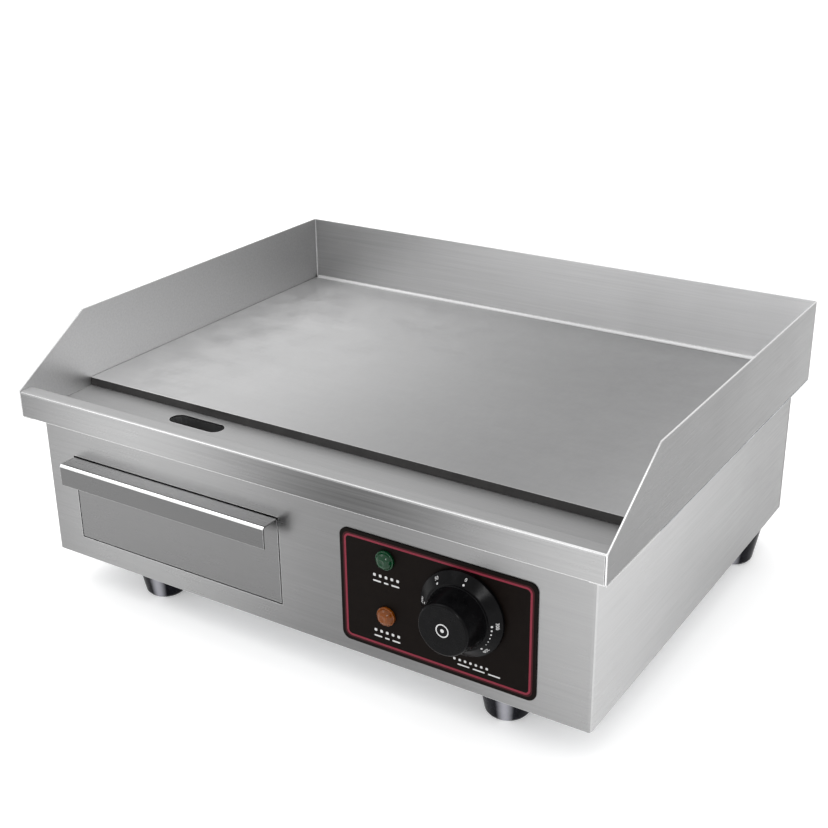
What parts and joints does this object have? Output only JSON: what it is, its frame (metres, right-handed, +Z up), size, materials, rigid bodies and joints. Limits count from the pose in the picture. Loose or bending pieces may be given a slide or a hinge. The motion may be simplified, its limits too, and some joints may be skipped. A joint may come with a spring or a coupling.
{
  "type": "electric griddle",
  "caption": "Counter-top electric griddle: steel plate in a three-sided splash guard, front gutter and drain slot, drip drawer, dial thermostat, pilot lamps and rubber feet.",
  "frame": {"origin": "centre of the object's footprint on the surface that its feet stand on", "axes": "+X to the right seen from the controls, +Y to the back, +Z up; the controls face -Y"},
  "size_m": [0.55, 0.466, 0.24],
  "materials": {
    "case_steel": "brushed stainless steel, satin",
    "plate_steel": "ground mild steel cooking plate, matt",
    "galvanised": "galvanised folded sheet",
    "zinc_screw": "bright zinc plated fasteners",
    "element_steel": "heat-darkened element sheath",
    "copper": "copper bulb and capillary",
    "ceramic_fibre": "pressed ceramic fibre board",
    "black_rubber": "black moulded rubber, slight gloss",
    "black_plastic": "black heat-resistant plastic, semi-gloss",
    "panel_black": "black facia with a dark red border line",
    "pale_nylon": "natural moulded nylon",
    "green_lens": "clear green lens",
    "amber_lens": "clear amber lens"
  },
  "bodies": {
    "chassis": {"splash_guard": "case_steel", "front_rim": "case_steel", "cooking_plate": "plate_steel", "plate_rail_left": "galvanised", "plate_rail_right": "galvanised", "plate_rail_rear": "galvanised", "drain_spout": "case_steel", "body_shell": "case_steel", "rear_panel": "case_steel", "base_plate": "galvanised", "drawer_runner_left": "galvanised", "drawer_runner_right": "galvanised", "drawer_bay_wall": "galvanised", "heating_element_left": "element_steel", "heating_element_right": "element_steel", "insulation_board": "ceramic_fibre", "heat_shield": "galvanised", "sensor_capillary": "copper", "sensor_clip": "galvanised", "control_panel": "panel_black", "thermostat_body": "pale_nylon", "thermostat_screw_low": "zinc_screw", "thermostat_screw_high": "zinc_screw", "lamp_lens_green": "green_lens", "lamp_lens_amber": "amber_lens", "lamp_body_green": "pale_nylon", "lamp_body_amber": "pale_nylon", "gland_body": "black_plastic", "gland_dome": "black_plastic", "gland_locknut": "black_plastic", "earth_stud": "zinc_screw", "earth_nut": "zinc_screw", "terminal_block": "pale_nylon", "foot_front_left": "black_rubber", "foot_screw_front_left": "zinc_screw", "clamp_stud_front_left": "zinc_screw", "clamp_nut_front_left": "zinc_screw", "foot_front_right": "black_rubber", "foot_screw_front_right": "zinc_screw", "clamp_stud_front_right": "zinc_screw", "clamp_nut_front_right": "zinc_screw", "foot_rear_left": "black_rubber", "foot_screw_rear_left": "zinc_screw", "clamp_stud_rear_left": "zinc_screw", "clamp_nut_rear_left": "zinc_screw", "foot_rear_right": "black_rubber", "foot_screw_rear_right": "zinc_screw", "clamp_stud_rear_right": "zinc_screw", "clamp_nut_rear_right": "zinc_screw", "rear_screw_1": "zinc_screw", "rear_screw_2": "zinc_screw", "rear_screw_3": "zinc_screw", "rear_screw_4": "zinc_screw", "clamp_bar_front": "galvanised", "clamp_bar_rear": "galvanised"},
    "drawer": {"drawer_front": "case_steel", "drawer_box": "case_steel"},
    "dial": {"dial_knob": "black_plastic", "thermostat_spindle": "zinc_screw"}
  },
  "joints": [
    {"name": "drawer_slide", "type": "slide", "parent": "chassis", "child": "drawer", "axis": [0, -1, 0], "range_m": [0, 0.2]},
    {"name": "dial_turn", "type": "hinge", "parent": "chassis", "child": "dial", "pos_m": [0.159, -0.2028, 0.104], "axis": [0, 1, 0], "range_deg": [0, 285]}
  ]
}
